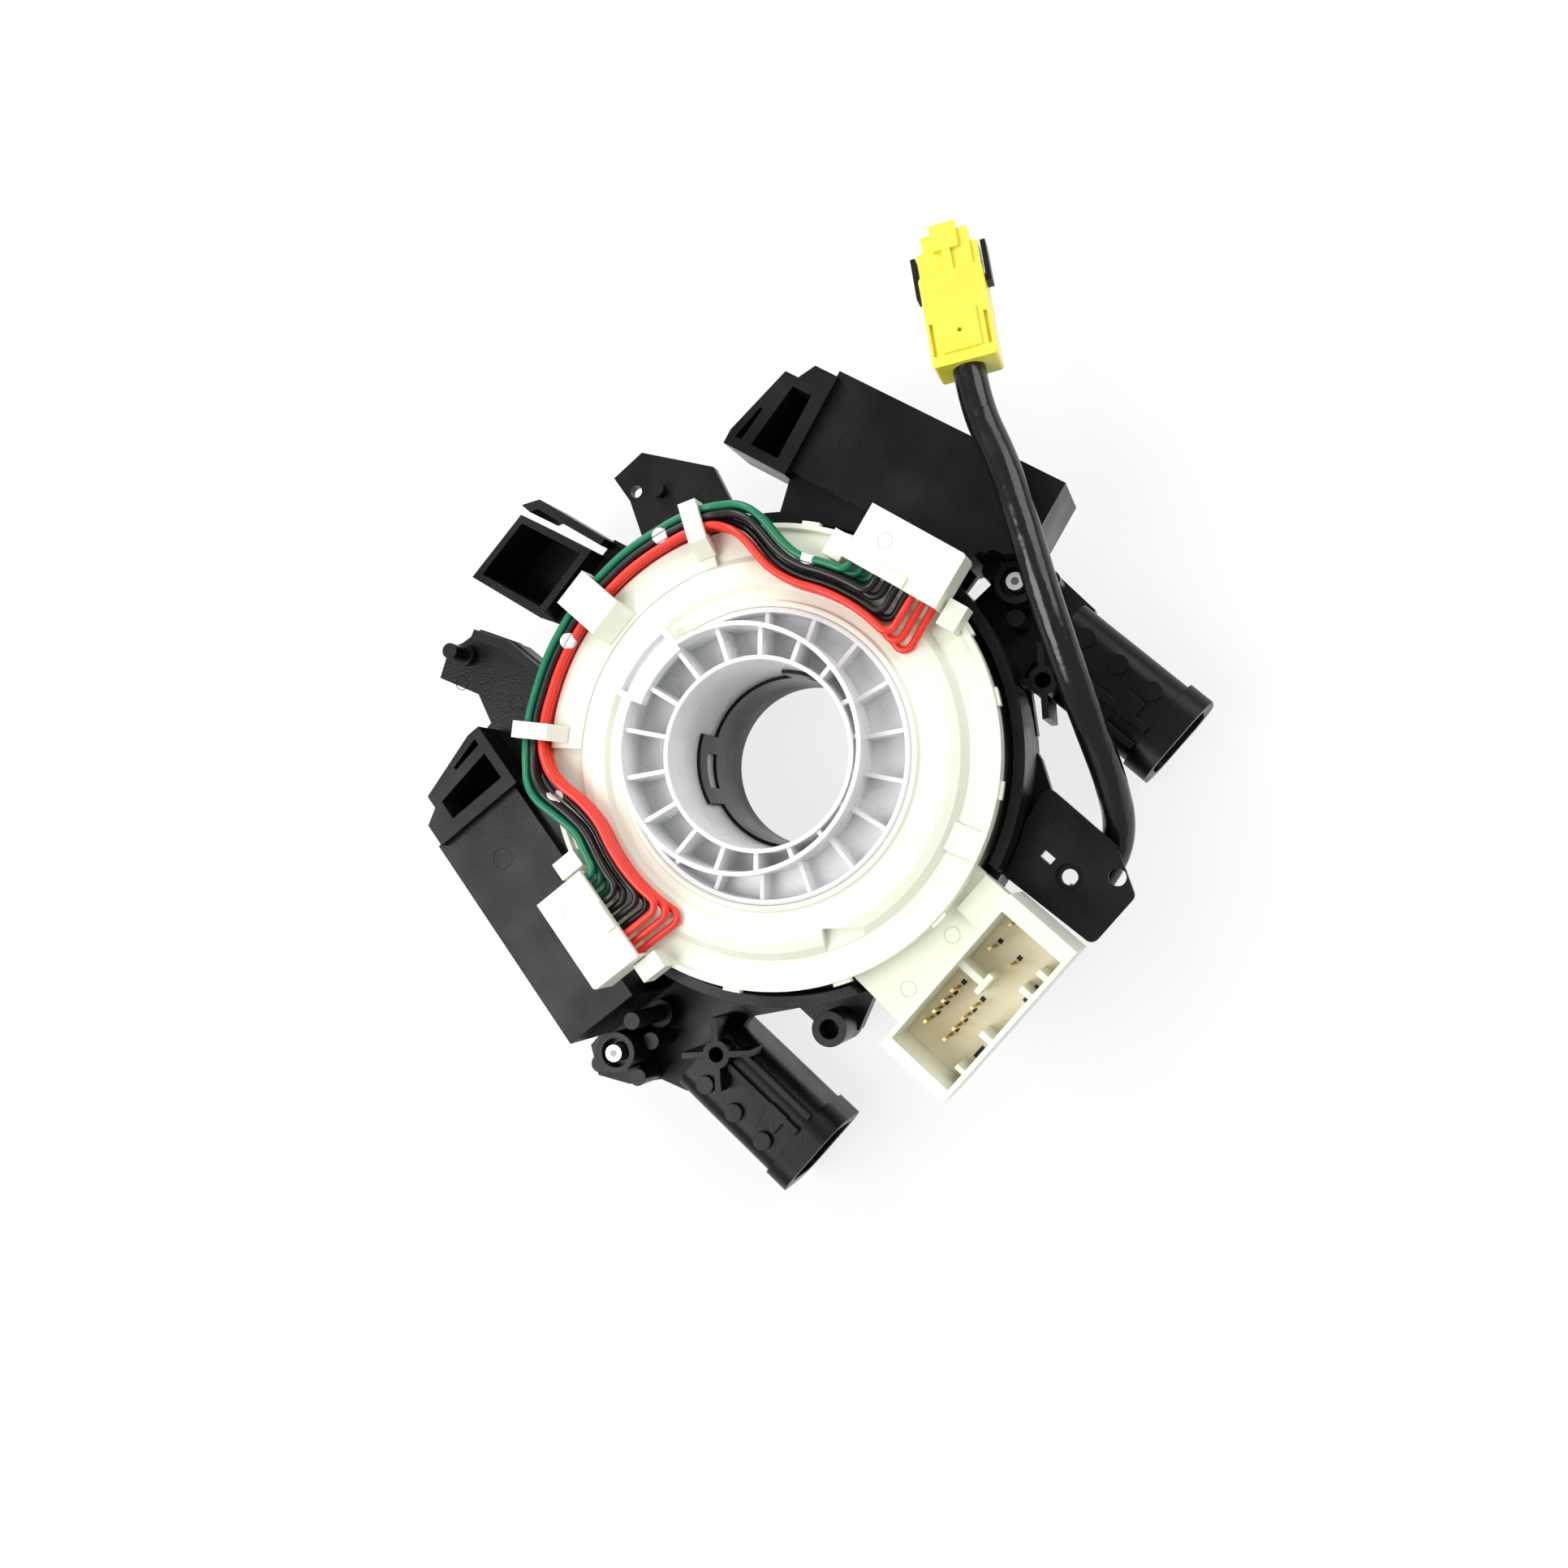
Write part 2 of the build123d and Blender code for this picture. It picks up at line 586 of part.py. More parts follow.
with BuildPart() as column_bracket:
    with BuildSketch(Plane.XY.offset(plate_low)):
        Circle(ring_out)
        Polygon((-40, -14), (-52, -3), (-62, -4), (-77, -3.8), (-80.6, -9.4), (-77.0, -16.0), (-71.2, -20.6),
                (-69.0, -26.5), (-47.6, -26.5), (-30, -40), align=None)
        Polygon((40, -12), (47, -6), (56, -7), (63.6, -11.0), (63.0, -18.5), (62.4, -26.5), (42.6, -26.5),
                (36, -34), align=None)
        Polygon((-22, -42), (-33.5, -45.6), (-38.8, -43.4), (-38.8, -31.0), align=None)
        Polygon((22, -38), (34.4, -33), (32.9, -37.7), (29.0, -43.9), (12, -49), (4, -46), align=None)
        Circle(seat_in, mode=Mode.SUBTRACT)
    extrude(amount=plate_top - plate_low)
    # recess that the cassette floor sits in
    with BuildSketch(Plane.XY.offset(floor_z)):
        Circle(case_r + 0.4)
    extrude(amount=plate_top - floor_z + 1, mode=Mode.SUBTRACT)
    # port sleeves
    for x in (port_right_x, port_left_x):
        with BuildSketch(port_plane(x, port_start)):
            RectangleRounded(port_w - 1.6, port_h - 1.0, 5.0)
        extrude(amount=port_start - port_end)
        with BuildSketch(port_plane(x, port_end + 5.2)):
            RectangleRounded(port_w, port_h, 6.0)
        extrude(amount=5.2)
        with BuildSketch(port_plane(x, port_start - port_blind)):
            RectangleRounded(port_w - 1.6 - 2 * port_wall, port_h - 1.0 - 2 * port_wall, 3.4)
        extrude(amount=40, mode=Mode.SUBTRACT)
        # three bumps and a latch rail on the top of each sleeve
        out = 1 if x > 0 else -1
        with BuildSketch(Plane.XY.offset(port_h - 2.0)):
            with Locations(*[(x + out * 4.0, port_start - 5.0 - 8.2 * k) for k in range(3)]):
                Circle(1.9)
            with Locations((x - out * 2.4, (port_start + port_end) / 2 + 1)):
                Rectangle(1.4, 22.0)
            with Locations((x - out * 6.4, (port_start + port_end) / 2 + 1)):
                Rectangle(1.2, 22.0)
            with Locations((x - out * 1.0, port_end + 11)):
                Rectangle(4.6, 4.4)
        extrude(amount=2.6)
    # screw bosses with clearance holes and locating bumps
    for x, y in (screw_right, screw_left):
        with BuildSketch(Plane.XY.offset(2.0)):
            with Locations((x, y)):
                Circle(boss_r)
        extrude(amount=boss_top - 2.0)
        with BuildSketch(Plane.XY.offset(plate_top - 0.5)):
            for turn in bump_turns[(x, y)]:
                with Locations((x + bump_out * cos(radians(turn)), y + bump_out * sin(radians(turn)))):
                    Circle(bump_r)
        extrude(amount=boss_top - 4.0 - plate_top)
        with BuildSketch(Plane.XY.offset(plate_top - 0.5)):
            for turn in bump_turns[(x, y)]:
                with Locations((x + 4.0 * cos(radians(turn)), y + 4.0 * sin(radians(turn)))):
                    Rectangle(5.0, 1.2, rotation=turn)
        extrude(amount=boss_top - 6.0 - plate_top)
        with BuildSketch(Plane.XY.offset(boss_top - 3.0)):
            with Locations((x, y)):
                Circle(boss_r - 1.2)
        extrude(amount=5, mode=Mode.SUBTRACT)
        with BuildSketch(Plane.XY):
            with Locations((x, y)):
                Circle(screw_r + screw_fit)
        extrude(amount=40, mode=Mode.SUBTRACT)
    # star bosses
    for x, y in (star_right, star_left):
        with BuildSketch(Plane.XY.offset(plate_low)):
            with Locations((x, y)):
                Circle(2.9)
                Rectangle(15.0, 1.3, rotation=45)
                Rectangle(15.0, 1.3, rotation=-45)
            Circle(ring_out, mode=Mode.SUBTRACT)
        extrude(amount=24.0 - plate_low)
        with BuildSketch(Plane.XY.offset(12.0)):
            with Locations((x, y)):
                Circle(1.55)
        extrude(amount=20, mode=Mode.SUBTRACT)
    # tall locating post beside the left screw boss
    with BuildSketch(Plane.XY.offset(plate_low)):
        with Locations((-59.4, -12.0)):
            Circle(1.75)
    extrude(amount=32.0 - plate_low)
    with BuildSketch(Plane.XY.offset(plate_low)):
        with Locations((-59.4, -12.0)):
            Circle(3.0)
    extrude(amount=9.0)
    # round boss on the lower web
    with BuildSketch(Plane.XY.offset(plate_low)):
        with Locations((-35.2, -42.0)):
            Circle(3.6)
    extrude(amount=14.0)
    with BuildSketch(Plane.XY.offset(plate_low + 8)):
        with Locations((-35.2, -42.0)):
            Circle(2.0)
    extrude(amount=14.0, mode=Mode.SUBTRACT)
    # flange plate on its web
    with BuildSketch(Plane.XY.offset(flange_plate_top - 2.5)):
        with BuildLine():
            FilletPolyline((11.0, -46.0), (30.0, -43.0), (29.8, -60.5), (24.6, -69.6), (12.2, -69.6), radius=1.6, close=True)
        make_face()
        with Locations((25.2, -64.6)):
            Circle(1.75, mode=Mode.SUBTRACT)
        with Locations((19.2, -57.8)):
            Circle(1.6, mode=Mode.SUBTRACT)
        with Locations((19.4, -52.2)):
            Rectangle(1.6, 2.6, mode=Mode.SUBTRACT)
    extrude(amount=2.5)
    with BuildSketch(Plane.XY.offset(flange_plate_top - 1.2)):
        with Locations((19.2, -57.8)):
            Circle(2.7)
    extrude(amount=2, mode=Mode.SUBTRACT)
    with BuildSketch(Plane.XY.offset(plate_low)):
        span_box((web_face - 2.6, web_face), (-68.0, -44.5))
    extrude(amount=flange_plate_top - 1.0 - plate_low)
    with BuildSketch(Plane.XY.offset(plate_low)):
        span_box((12.4, 29.0), (-47.6, -44.9))
    extrude(amount=flange_plate_top - 1.0 - plate_low)
    # keep the rotor, cassette and upper ring clear
    with BuildSketch(Plane.XY):
        Circle(seat_in)
    extrude(amount=40, mode=Mode.SUBTRACT)
    with BuildSketch(Plane.XY.offset(plate_top)):
        Circle(ring_out + 0.2)
    extrude(amount=40, mode=Mode.SUBTRACT)
column_bracket.part.label = "column_bracket"

# Captive screws: shank with a pan head under the boss
with BuildPart() as captive_screws:
    for x, y in (screw_right, screw_left):
        with BuildSketch(Plane.XY.offset(2.0)):
            with Locations((x, y)):
                Circle(screw_r)
        extrude(amount=boss_top + 1.0 - 2.0)
        with BuildSketch(Plane.XY.offset(2.0)):
            with Locations((x, y)):
                Circle(3.4)
        extrude(amount=-1.9)
captive_screws.part.label = "captive_screws"

# Harness: each wire keeps one lane under the hooks and one beside the plugs
lane_out_right = 38.4     # outermost lane inside each plug
lane_out_left = 40.2
plug_lanes = 4
level_z = cone_z + 0.1 + wire_d / 2


def tube(points, diameter):
    # bent tube along the points, every corner as soft as its shorter run allows
    radii = []
    for k in range(1, len(points) - 1):
        run_in = points[k] - points[k - 1]
        run_out = points[k + 1] - points[k]
        half = radians(run_in.get_angle(run_out)) / 2
        radii.append(0.45 * min(run_in.length, run_out.length) / tan(half))
    with BuildPart() as body:
        with BuildLine() as route:
            FilletPolyline(*points, radius=radii)
        with BuildSketch(Plane(origin=points[0], z_dir=points[1] - points[0])):
            Circle(diameter / 2)
        sweep()
    length = sum(edge.length for edge in route.edges())
    share = body.part.volume / (pi * diameter**2 / 4 * length)
    return body.part, radii, length, share


def polar_point(angle, radius, z):
    return Vector(*at(angle, radius), z)


def lane_run(at_xy, turn, side, outer, turns_at, y, levels):
    # one end of a wire, from the plug to the first hook
    z_in, z_lane, z_over, z_hook, lane, r_over, r_hook = levels
    r_lane = outer - wire_step * (plug_lanes - 1 - lane)
    a = radians(turn)
    along = at_xy[0] * cos(a) + at_xy[1] * sin(a)
    across = (at_xy[1] * cos(a) - at_xy[0] * sin(a)) * side
    face_x = along - plug_deep / 2 + plug_recess
    aside = across + y
    face_angle = turn + side * degrees(atan2(aside, face_x))
    corner_angle = turn + side * degrees(atan2(aside, (r_lane**2 - aside**2) ** 0.5))
    run = [polar_point(face_angle, hypot(face_x, aside), z_in), polar_point(corner_angle, r_lane, z_lane)]
    start = corner_angle + side * (6.0 + 1.2 * (plug_lanes - 1 - lane))
    steps = max(1, round(abs(turns_at[3] - start) / 9.0))
    for k in range(steps + 1):
        run.append(polar_point(start + (turns_at[3] - start) * k / steps, r_lane, z_lane))
    early = side * lane * 1.1
    run.append(polar_point(turns_at[2] - early, r_lane + 2.2, z_lane))
    run.append(polar_point(turns_at[1] - early, r_over, z_over))
    run.append(polar_point(turns_at[0], r_hook, z_hook))
    return run


# each way: colour, number, hook lane, hook layer, plug lane, plug level
ways = (
    ("green", 1, 2, 3, 3, 2),
    ("green", 2, 2, 2, 3, 1),
    ("green", 3, 2, 1, 3, 0),
    ("black", 1, 1, 3, 2, 2),
    ("black", 2, 1, 2, 2, 1),
    ("black", 3, 1, 1, 1, 1),
    ("black", 4, 1, 0, 1, 0),
    ("red", 1, 0, 3, 0, 2),
    ("red", 2, 0, 2, 0, 1),
    ("red", 3, 0, 1, 0, 0),
)
wires = []
for w, (colour, number, lane, layer, plug_lane, level) in enumerate(ways):
    y = (way_count / 2 - 0.5 - w) * way_pitch
    z_hook = layer_z + wire_step * layer
    r_hook = lane_r + wire_step * lane
    r_over = r_hook - 2.0 - (0 if plug_lane > 1 else wire_step)
    levels = (
        entry_z + 1.2 * (level - 1),
        level_z + wire_step * level,
        z_hook + 4.0,
        z_hook,
        plug_lane,
        r_over,
        r_hook,
    )
    right = lane_run(plug_right_at, plug_right_turn, 1, lane_out_right, (54.4, 46.5, 37.5, 28.5), y, levels)
    left = lane_run(plug_left_at, plug_turn_left, -1, lane_out_left, (128.0, 136.0, 145.0, 153.0), y, levels)
    middle = [polar_point(a, r_hook, z_hook) for a in (62.0, 76.0, 91.0, 106.0, 120.0)]
    wire, radii, length, share = tube(right + middle + left[::-1], wire_d)
    wire.label = f"wire_{colour}_{number}"
    wires.append(wire)
    print(wire.label, "length", round(length, 1), "volume share", round(share, 4), "least radius", round(min(radii), 2))

# Airbag lead: gland on the flange web, sleeve, yellow connector
route_points = [
    Vector(*gland_at),
    Vector(25.5, gland_at[1], gland_at[2]),
    Vector(33.0, -58.6, 15.6),
    Vector(38.6, -51.8, 22.8),
    Vector(43.6, -43.6, 30.4),
    Vector(50.0, -33.0, 36.0),
    Vector(57.4, -21.0, 38.6),
    Vector(65.0, -9.6, 39.2),
    Vector(71.4, 0.9, 38.6),
    Vector(75.9, 11.1, 37.9),
    Vector(80.9, 17.3, 37.4),
]
lead_sleeve, lead_radii, lead_length, lead_share = tube(route_points, lead_d)
lead_sleeve.label = "lead_sleeve"
print("lead length", round(lead_length, 1), "volume share", round(lead_share, 4), "radii",
      [round(r, 1) for r in lead_radii])

with BuildPart() as lead_gland:
    with BuildSketch(Plane(origin=(web_face, gland_at[1], gland_at[2]), z_dir=(1, 0, 0))):
        Circle(lead_d / 2 + 1.4)
    extrude(amount=1.4)
    with BuildSketch(Plane(origin=(web_face, gland_at[1], gland_at[2]), z_dir=(1, 0, 0))):
        Circle(lead_d / 2 + 0.6)
    extrude(amount=gland_at[0] - web_face)
lead_gland.part.label = "lead_gland"

# Yellow connector in line with the end of the lead
con_w = 12.2
con_t = 8.6
con_back = 18.2           # length of the wide rear block
con_nose = 26.6
con_dir = (route_points[-1] - route_points[-2]).normalized()
con_side = Vector(con_dir.Y, -con_dir.X, 0).normalized()
con_plane = Plane(origin=route_points[-1], x_dir=con_dir, z_dir=con_side.cross(con_dir))
with BuildPart() as lead_connector:
    with BuildSketch(con_plane.offset(-con_t / 2)):
        with Locations((con_back / 2, 0)):
            RectangleRounded(con_back, con_w, 0.8)
    extrude(amount=con_t)
    # narrower front with its rib
    with BuildSketch(con_plane.offset(-con_t / 2 + 0.4)):
        with Locations(((con_back + con_nose) / 2 - 1, 0)):
            Rectangle(con_nose - con_back + 2, con_w - 3.2)
    extrude(amount=con_t - 1.6)
    with BuildSketch(con_plane.offset(con_t / 2 - 1.6)):
        with Locations((con_nose - 1.2, 0)):
            Rectangle(5.2, 5.0)
        with Locations((con_nose - 5.0, 0)):
            Rectangle(8.0, 1.6)
    extrude(amount=1.2)
    # side wings beside the front
    with BuildSketch(con_plane.offset(-2.4)):
        for s in (1, -1):
            with Locations((con_back + 2.0, s * (con_w / 2 - 1.0))):
                Rectangle(7.0, 1.6)
    extrude(amount=4.8)
    # ledge at the sleeve
    with BuildSketch(con_plane.offset(con_t / 2 - 0.4)):
        with Locations((6.2, 0)):
            Rectangle(8.0, 7.4)
    extrude(amount=0.9)
    # grooves along both sides and a small keyhole
    with BuildSketch(con_plane.offset(con_t / 2 - 1.0)):
        for s in (1, -1):
            with Locations((5.4, s * (con_w / 2 - 0.9))):
                Rectangle(6.6, 0.7)
        with Locations((6.0, 0)):
            Circle(0.45)
    extrude(amount=2, mode=Mode.SUBTRACT)
    # mating mouth in the nose
    with BuildSketch(Plane(origin=con_plane.from_local_coords((con_nose, 0, 0)), x_dir=con_side, z_dir=con_dir)):
        Rectangle(5.8, 4.6)
    extrude(amount=-7.0, mode=Mode.SUBTRACT)
lead_connector.part.label = "lead_connector"

# Latch arms along both sides of the connector
arm_out = con_w / 2 + 0.7
with BuildPart() as lead_lock:
    with BuildSketch(con_plane.offset(-1.7)):
        for s in (1, -1):
            with Locations((con_back + 1.4, s * arm_out)):
                Rectangle(8.2, 1.0)
            with Locations((con_back - 2.0, s * (con_w / 2 + 0.6))):
                Rectangle(1.4, 1.2)
    extrude(amount=3.4)
lead_lock.part.label = "lead_lock"

nodes = [
    switch_body.part, column_bracket.part, cassette_base.part, cassette_cover.part, vehicle_pins.part,
    harness_plug_right, harness_plug_left, *wires, captive_screws.part, flat_cable.part,
    lead_gland.part, lead_sleeve, lead_connector.part, lead_lock.part,
    hub.part, wheel_flange.part, wheel_socket.part, wheel_pins.part,
]
for node in nodes:
    export_step(node, f"parts/{node.label}.step")
    box = node.bounding_box()
    print(node.label, len(node.solids()), "solids", round(node.volume), "mm3", node.is_valid,
          [round(v, 1) for v in (*box.min, *box.max)])
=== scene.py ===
"""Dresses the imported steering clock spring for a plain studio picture."""
from math import cos, pi, radians, sin

import bmesh
import bpy
from bpy.props import FloatProperty, FloatVectorProperty, IntProperty, PointerProperty
from mathutils import Matrix, Vector


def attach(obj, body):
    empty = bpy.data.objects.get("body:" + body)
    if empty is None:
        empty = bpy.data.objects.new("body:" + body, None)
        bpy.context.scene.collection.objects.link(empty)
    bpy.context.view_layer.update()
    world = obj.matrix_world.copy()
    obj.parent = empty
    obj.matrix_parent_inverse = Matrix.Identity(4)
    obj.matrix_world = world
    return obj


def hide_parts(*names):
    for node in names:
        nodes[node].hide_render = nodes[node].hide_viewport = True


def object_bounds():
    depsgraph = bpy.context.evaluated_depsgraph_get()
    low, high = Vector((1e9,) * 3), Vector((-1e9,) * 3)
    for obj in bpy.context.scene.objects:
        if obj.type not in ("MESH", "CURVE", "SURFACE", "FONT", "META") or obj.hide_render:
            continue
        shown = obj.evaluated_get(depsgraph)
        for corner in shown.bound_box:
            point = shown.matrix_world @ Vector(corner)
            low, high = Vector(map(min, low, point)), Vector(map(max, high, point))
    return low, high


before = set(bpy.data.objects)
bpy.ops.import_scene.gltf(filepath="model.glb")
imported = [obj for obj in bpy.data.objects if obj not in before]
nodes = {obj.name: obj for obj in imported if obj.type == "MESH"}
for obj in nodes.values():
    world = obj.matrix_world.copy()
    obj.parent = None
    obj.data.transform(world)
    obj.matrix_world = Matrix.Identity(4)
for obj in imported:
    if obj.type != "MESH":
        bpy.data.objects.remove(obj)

bl_info = {
    "name": "Clock Spring Dressing",
    "version": (1, 0, 0),
    "blender": (4, 5, 0),
    "location": "View3D > Sidebar > Clock Spring",
    "description": "Gives the clock spring its plastics, wires, lead and studio",
    "category": "Object",
}

mm = 0.001
cad_low, cad_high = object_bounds()

# Picture: square frame, pinhole camera over the lower right of the part
camera_at = Vector((41.5, -76.75, 310.8)) * mm
camera_lens = 33.96
sensor_width = 36.0
camera_down = Vector((543.6, 87.2, 1822.6))   # the part's -Z in the camera's x, y, depth
camera_roll = 48.9
floor_side = 4.0          # metres
floor_drop = 0.0002       # metres under the part


def colour_property(name, description, default):
    return FloatVectorProperty(
        name=name, description=description, subtype="COLOR", size=3, min=0.0, max=1.0, default=default
    )


class ClockSpringMouldings(bpy.types.PropertyGroup):
    black: colour_property("Black", "Glass-filled black of the switch body", (0.004, 0.004, 0.0043))
    scuff: colour_property("Scuff", "Paler rubbed areas of the black plastic", (0.014, 0.014, 0.015))
    scuff_scale: FloatProperty(
        name="Scuff scale", description="Patches for each metre", default=38.0, min=1.0
    )
    cream: colour_property("Cream", "Cassette, cover and plugs", (0.80, 0.82, 0.70))
    milky: colour_property("Milky", "Translucent hub", (0.89, 0.90, 0.91))
    yellow: colour_property("Yellow", "Lead connector", (0.90, 0.80, 0.075))
    edge: FloatProperty(
        name="Edge", description="Rounding that catches the light", default=0.00022, unit="LENGTH"
    )


class ClockSpringHarness(bpy.types.PropertyGroup):
    red: colour_property("Red", "Red insulation", (0.80, 0.035, 0.018))
    green: colour_property("Green", "Green insulation", (0.004, 0.17, 0.075))
    black: colour_property("Black", "Black insulation", (0.008, 0.008, 0.009))
    mark: colour_property("Mark", "Paint marks across the wires", (0.82, 0.83, 0.84))
    mark_radius: FloatProperty(
        name="Mark radius", description="Reach of each paint mark", default=0.0017, unit="LENGTH"
    )
    sleeve_diameter: FloatProperty(
        name="Sleeve diameter", description="Outside of the airbag lead", default=0.0063, unit="LENGTH"
    )
    sleeve_length: FloatProperty(
        name="Sleeve length", description="Length along the lead", default=0.1124, unit="LENGTH"
    )


class ClockSpringStudio(bpy.types.PropertyGroup):
    floor_white: FloatProperty(
        name="Floor white", description="How far the seen floor is pure white", default=0.8, min=0.0, max=1.0
    )
    key_power: FloatProperty(name="Key", description="Large lamp, upper left", default=3.4, unit="POWER")
    fill_power: FloatProperty(name="Fill", description="Lamp at the right", default=1.8, unit="POWER")
    rim_power: FloatProperty(name="Rim", description="Lamp behind", default=1.8, unit="POWER")
    around: FloatProperty(name="Around", description="Light of the room", default=0.42, min=0.0)
    mark_count: IntProperty(name="Ring sides", description="Sides of round marks", default=40, min=12)


def new_shader(name, colour, roughness):
    """A material with one main shader; returns it with its tree and shader."""
    material = bpy.data.materials.new(name)
    material.use_nodes = True
    tree = material.node_tree
    shader = tree.nodes["Principled BSDF"]
    shader.inputs["Base Color"].default_value = (*colour, 1.0)
    shader.inputs["Roughness"].default_value = roughness
    return material, tree, shader


def object_noise(tree, scale, detail=4.0):
    place = tree.nodes.new("ShaderNodeTexCoord")
    noise = tree.nodes.new("ShaderNodeTexNoise")
    noise.inputs["Scale"].default_value = scale
    noise.inputs["Detail"].default_value = detail
    tree.links.new(place.outputs["Object"], noise.inputs["Vector"])
    return noise


def vary_roughness(tree, shader, scale, low, high):
    noise = object_noise(tree, scale)
    span = tree.nodes.new("ShaderNodeMapRange")
    span.inputs["From Min"].default_value = 0.35
    span.inputs["From Max"].default_value = 0.65
    span.inputs["To Min"].default_value = low
    span.inputs["To Max"].default_value = high
    tree.links.new(noise.outputs["Fac"], span.inputs["Value"])
    tree.links.new(span.outputs["Result"], shader.inputs["Roughness"])


def vary_colour(tree, shader, scale, first, second, start=0.5, stop=0.72):
    noise = object_noise(tree, scale, 6.0)
    ramp = tree.nodes.new("ShaderNodeValToRGB")
    ramp.color_ramp.elements[0].position = start
    ramp.color_ramp.elements[0].color = (*first, 1.0)
    ramp.color_ramp.elements[1].position = stop
    ramp.color_ramp.elements[1].color = (*second, 1.0)
    tree.links.new(noise.outputs["Fac"], ramp.inputs["Fac"])
    tree.links.new(ramp.outputs["Color"], shader.inputs["Base Color"])


def soften(tree, shader, edge, grain_scale=0.0, grain_height=0.0):
    """Rounded edges and a fine moulded grain."""
    bevel = tree.nodes.new("ShaderNodeBevel")
    bevel.samples = 4
    bevel.inputs["Radius"].default_value = edge
    if not grain_height:
        tree.links.new(bevel.outputs["Normal"], shader.inputs["Normal"])
        return
    noise = object_noise(tree, grain_scale, 2.0)
    bump = tree.nodes.new("ShaderNodeBump")
    bump.inputs["Strength"].default_value = 0.35
    bump.inputs["Distance"].default_value = grain_height
    tree.links.new(noise.outputs["Fac"], bump.inputs["Height"])
    tree.links.new(bevel.outputs["Normal"], bump.inputs["Normal"])
    tree.links.new(bump.outputs["Normal"], shader.inputs["Normal"])


def dress(material, *names):
    for name in names:
        piece = nodes[name]
        if not piece.material_slots:
            piece.data.materials.append(material)
        for slot in piece.material_slots:
            slot.material = material


def black_plastic(name="black glass-filled plastic"):
    look = bpy.context.scene.clock_spring_mouldings
    material, tree, shader = new_shader(name, look.black, 0.4)
    vary_colour(tree, shader, look.scuff_scale, look.black, look.scuff)
    shader.inputs["Specular IOR Level"].default_value = 0.2
    vary_roughness(tree, shader, 60.0, 0.26, 0.44)
    soften(tree, shader, look.edge, 2200.0, 0.00012)
    return material


class OBJECT_OT_dress_black_mouldings(bpy.types.Operator):
    """Give the switch body, bracket, rotor plate and latch arms their black plastic"""

    bl_idname = "object.dress_black_mouldings"
    bl_label = "Black mouldings"

    def execute(self, context):
        dress(black_plastic(), "switch_body", "column_bracket", "wheel_flange", "wheel_socket", "lead_lock")
        return {"FINISHED"}


class OBJECT_OT_dress_cassette(bpy.types.Operator):
    """Give the cassette, its cover and the harness plugs their cream plastic"""

    bl_idname = "object.dress_cassette"
    bl_label = "Cassette and plugs"

    def execute(self, context):
        look = context.scene.clock_spring_mouldings
        for name, shade, names in (
            ("cream cassette plastic", 1.0, ("cassette_base", "cassette_cover")),
            ("white plug plastic", 1.04, ("harness_plug_right", "harness_plug_left")),
        ):
            colour = tuple(min(1.0, c * shade) for c in look.cream)
            dull = tuple(c * 0.95 for c in colour)
            material, tree, shader = new_shader(name, colour, 0.36)
            shader.inputs["Subsurface Weight"].default_value = 0.25
            shader.inputs["Subsurface Radius"].default_value = (1.0, 0.95, 0.7)
            shader.inputs["Subsurface Scale"].default_value = 0.0012
            vary_colour(tree, shader, 30.0, colour, dull, 0.4, 0.75)
            vary_roughness(tree, shader, 90.0, 0.30, 0.42)
            soften(tree, shader, look.edge)
            dress(material, *names)
        return {"FINISHED"}


class OBJECT_OT_dress_hub(bpy.types.Operator):
    """Give the rotor hub its milky translucent plastic"""

    bl_idname = "object.dress_hub"
    bl_label = "Rotor hub"

    def execute(self, context):
        look = context.scene.clock_spring_mouldings
        material, tree, shader = new_shader("milky hub plastic", look.milky, 0.3)
        shader.inputs["Subsurface Weight"].default_value = 0.5
        shader.inputs["Subsurface Radius"].default_value = (1.0, 1.0, 1.0)
        shader.inputs["Subsurface Scale"].default_value = 0.002
        shader.inputs["Transmission Weight"].default_value = 0.12
        shader.inputs["IOR"].default_value = 1.46
        vary_roughness(tree, shader, 70.0, 0.24, 0.36)
        soften(tree, shader, look.edge)
        dress(material, "hub")
        return {"FINISHED"}


class OBJECT_OT_dress_metal(bpy.types.Operator):
    """Give the terminals their gold and the screws their zinc"""

    bl_idname = "object.dress_metal"
    bl_label = "Terminals and screws"

    def execute(self, context):
        for name, colour, rough, names in (
            ("gold plate", (0.83, 0.60, 0.25), 0.25, ("vehicle_pins", "wheel_pins")),
            ("zinc plate", (0.80, 0.81, 0.83), 0.28, ("captive_screws",)),
        ):
            material, tree, shader = new_shader(name, colour, rough)
            shader.inputs["Metallic"].default_value = 1.0
            vary_roughness(tree, shader, 400.0, rough - 0.06, rough + 0.1)
            soften(tree, shader, 0.00012)
            dress(material, *names)
        return {"FINISHED"}


class OBJECT_OT_dress_ribbon(bpy.types.Operator):
    """Give the wound ribbon its amber film, with the turns as fine rings"""

    bl_idname = "object.dress_ribbon"
    bl_label = "Wound ribbon"

    def execute(self, context):
        material, tree, shader = new_shader("amber film", (0.42, 0.28, 0.12), 0.3)
        place = tree.nodes.new("ShaderNodeTexCoord")
        rings = tree.nodes.new("ShaderNodeTexWave")
        rings.wave_type = "RINGS"
        rings.rings_direction = "Z"
        rings.inputs["Scale"].default_value = 320.0
        ramp = tree.nodes.new("ShaderNodeValToRGB")
        ramp.color_ramp.elements[0].color = (0.10, 0.06, 0.025, 1.0)
        ramp.color_ramp.elements[1].color = (0.50, 0.34, 0.15, 1.0)
        tree.links.new(place.outputs["Object"], rings.inputs["Vector"])
        tree.links.new(rings.outputs["Fac"], ramp.inputs["Fac"])
        tree.links.new(ramp.outputs["Color"], shader.inputs["Base Color"])
        dress(material, "flat_cable")
        return {"FINISHED"}


